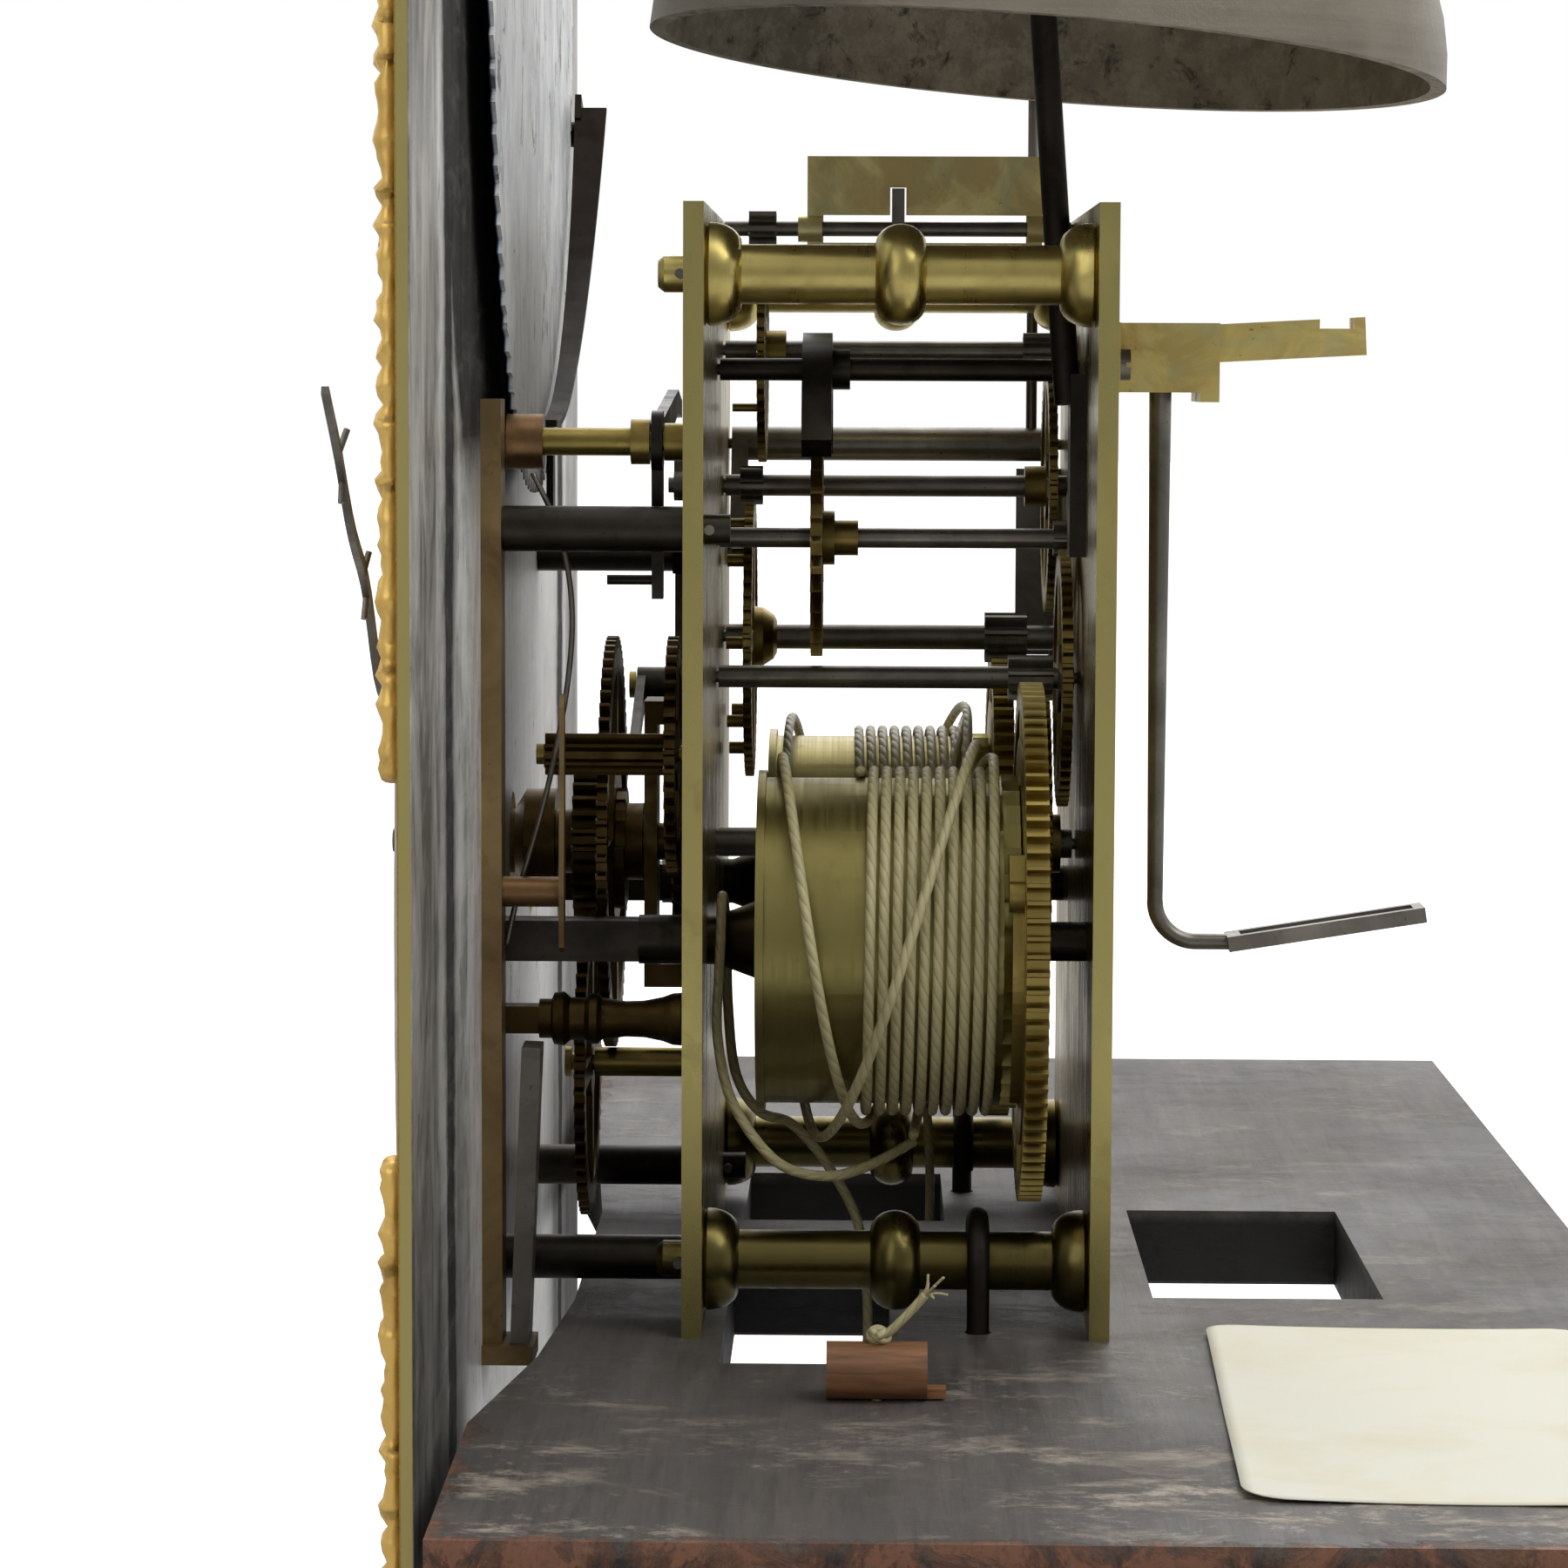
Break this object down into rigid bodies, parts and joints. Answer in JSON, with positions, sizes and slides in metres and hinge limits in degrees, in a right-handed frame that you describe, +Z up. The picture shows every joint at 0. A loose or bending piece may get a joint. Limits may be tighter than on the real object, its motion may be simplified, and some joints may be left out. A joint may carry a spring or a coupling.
{
  "type": "longcase clock movement",
  "caption": "Longcase clock movement with going and rack-strike trains between brass plates, arched dial, bell and hammer, standing on a slotted wooden seatboard.",
  "frame": {"origin": "underside of the seatboard, below the middle of the movement", "axes": "+Z up, +X to the right as seen from the front, -Y the way the dial looks"},
  "size_m": [0.43, 0.2072, 0.476],
  "materials": {
    "brass": "aged, brushed",
    "dial_brass": "dull, unpolished back",
    "gilt": "gilt casting",
    "bell_metal": "grey, tarnished bell metal",
    "silvered": "silvered, satin",
    "strap_metal": "brown, tarnished",
    "steel": "grey, worn",
    "dark_iron": "dark, forged",
    "blued_steel": "blued",
    "board": "weathered grey pine",
    "peg_wood": "bare",
    "gut_line": "amber gut, satin",
    "moon_paint": "painted, worn"
  },
  "bodies": {
    "frame": {"seatboard": "board", "seat_hooks": "dark_iron", "front_plate": "brass", "back_plate": "brass", "pillars": "brass", "taper_pins": "steel", "back_cock": "brass", "cock_screws": "steel", "bell_stand": "dark_iron", "bell": "bell_metal", "dial_plate": "dial_brass", "dial_feet": "steel", "dial_strap": "strap_metal", "chapter_ring": "silvered", "spandrels": "gilt", "moon_guard": "dark_iron", "hour_bridge": "brass", "front_studs": "brass", "date_post": "brass", "blade_springs": "steel", "line_peg": "peg_wood", "going_fall": "gut_line", "strike_fall": "gut_line"},
    "going_great": {"going_great_wheel": "brass", "going_click": "steel"},
    "going_drum": {"going_barrel": "brass", "going_arbor": "steel", "going_winding": "gut_line"},
    "strike_great": {"strike_great_wheel": "brass", "strike_click": "steel"},
    "strike_drum": {"strike_barrel": "brass", "strike_arbor": "steel", "strike_winding": "gut_line"},
    "centre": {"centre_arbor": "steel", "centre_wheel": "brass", "cannon_wheel": "brass", "minute_hand": "blued_steel"},
    "third": {"third_arbor": "steel", "third_wheel": "brass"},
    "escape": {"escape_arbor": "steel", "escape_wheel": "brass", "seconds_hand": "blued_steel"},
    "pallet": {"pallets": "steel", "crutch": "steel"},
    "minute": {"minute_wheel": "brass"},
    "hour": {"hour_wheel": "brass", "hour_hand": "blued_steel"},
    "date": {"date_wheel": "brass"},
    "pin": {"pin_arbor": "steel", "pin_wheel": "brass"},
    "gathering": {"gathering_arbor": "steel", "gathering_wheel": "brass"},
    "warning": {"warning_arbor": "steel", "warning_wheel": "brass"},
    "fly": {"fly_arbor": "steel", "fly_vane": "brass"},
    "hammer": {"hammer": "dark_iron"},
    "rack": {"rack": "steel"},
    "lifter": {"lifting_piece": "steel"},
    "moon": {"moon_disc": "moon_paint"}
  },
  "joints": [
    {"name": "centre_turn", "type": "hinge", "parent": "frame", "child": "centre", "pos_m": [0, 0, 0.08526], "axis": [0, 1, 0], "continuous": true},
    {"name": "going_great_turn", "type": "hinge", "parent": "frame", "child": "going_great", "pos_m": [0.0432, 0, 0.0737], "axis": [0, 1, 0], "continuous": true},
    {"name": "third_turn", "type": "hinge", "parent": "frame", "child": "third", "pos_m": [0.00378, 0, 0.11396], "axis": [0, 1, 0], "continuous": true},
    {"name": "escape_turn", "type": "hinge", "parent": "frame", "child": "escape", "pos_m": [0, 0, 0.13746], "axis": [0, 1, 0], "continuous": true},
    {"name": "minute_turn", "type": "hinge", "parent": "frame", "child": "minute", "pos_m": [0.03272, 0, 0.10295], "axis": [0, 1, 0], "continuous": true},
    {"name": "hour_turn", "type": "hinge", "parent": "frame", "child": "hour", "pos_m": [0, 0, 0.08526], "axis": [0, 1, 0], "continuous": true},
    {"name": "date_turn", "type": "hinge", "parent": "frame", "child": "date", "pos_m": [0, 0, 0.04706], "axis": [0, 1, 0], "continuous": true},
    {"name": "going_winding_turn", "type": "hinge", "parent": "going_great", "child": "going_drum", "pos_m": [0.0432, 0, 0.0737], "axis": [0, 1, 0], "continuous": true},
    {"name": "gathering_turn", "type": "hinge", "parent": "frame", "child": "gathering", "pos_m": [-0.03359, 0, 0.1455], "axis": [0, 1, 0], "continuous": true},
    {"name": "pin_turn", "type": "hinge", "parent": "frame", "child": "pin", "pos_m": [-0.03739, 0, 0.1184], "axis": [0, 1, 0], "continuous": true},
    {"name": "strike_great_turn", "type": "hinge", "parent": "frame", "child": "strike_great", "pos_m": [-0.0432, 0, 0.0737], "axis": [0, 1, 0], "continuous": true},
    {"name": "warning_turn", "type": "hinge", "parent": "frame", "child": "warning", "pos_m": [-0.0295, 0, 0.16941], "axis": [0, 1, 0], "continuous": true},
    {"name": "fly_turn", "type": "hinge", "parent": "frame", "child": "fly", "pos_m": [-0.02463, 0, 0.19051], "axis": [0, 1, 0], "continuous": true},
    {"name": "strike_winding_turn", "type": "hinge", "parent": "strike_great", "child": "strike_drum", "pos_m": [-0.0432, 0, 0.0737], "axis": [0, 1, 0], "continuous": true},
    {"name": "pallet_rock", "type": "hinge", "parent": "frame", "child": "pallet", "pos_m": [0, 0, 0.16603], "axis": [0, 1, 0], "range_deg": [-3, 3]},
    {"name": "hammer_lift", "type": "hinge", "parent": "frame", "child": "hammer", "pos_m": [-0.065, 0, 0.1524], "axis": [0, -1, 0], "range_deg": [0, 9]},
    {"name": "rack_drop", "type": "hinge", "parent": "frame", "child": "rack", "pos_m": [-0.04, 0, 0.1095], "axis": [0, 1, 0], "range_deg": [0, 14]},
    {"name": "lifting_piece_lift", "type": "hinge", "parent": "frame", "child": "lifter", "pos_m": [0.052, 0, 0.1545], "axis": [0, 1, 0], "range_deg": [0, 6]},
    {"name": "moon_turn", "type": "hinge", "parent": "frame", "child": "moon", "pos_m": [0, 0, 0.24096], "axis": [0, 1, 0], "continuous": true}
  ],
  "couplings": [
    {"joint": "going_great_turn", "follows": "centre_turn", "ratio": -0.083333},
    {"joint": "third_turn", "follows": "centre_turn", "ratio": -7.5},
    {"joint": "escape_turn", "follows": "centre_turn", "ratio": 60},
    {"joint": "minute_turn", "follows": "centre_turn", "ratio": -1},
    {"joint": "hour_turn", "follows": "centre_turn", "ratio": 0.083333},
    {"joint": "date_turn", "follows": "centre_turn", "ratio": -0.041667},
    {"joint": "pin_turn", "follows": "gathering_turn", "ratio": -0.125},
    {"joint": "strike_great_turn", "follows": "gathering_turn", "ratio": 0.011905},
    {"joint": "warning_turn", "follows": "gathering_turn", "ratio": -8},
    {"joint": "fly_turn", "follows": "gathering_turn", "ratio": 57.143}
  ]
}
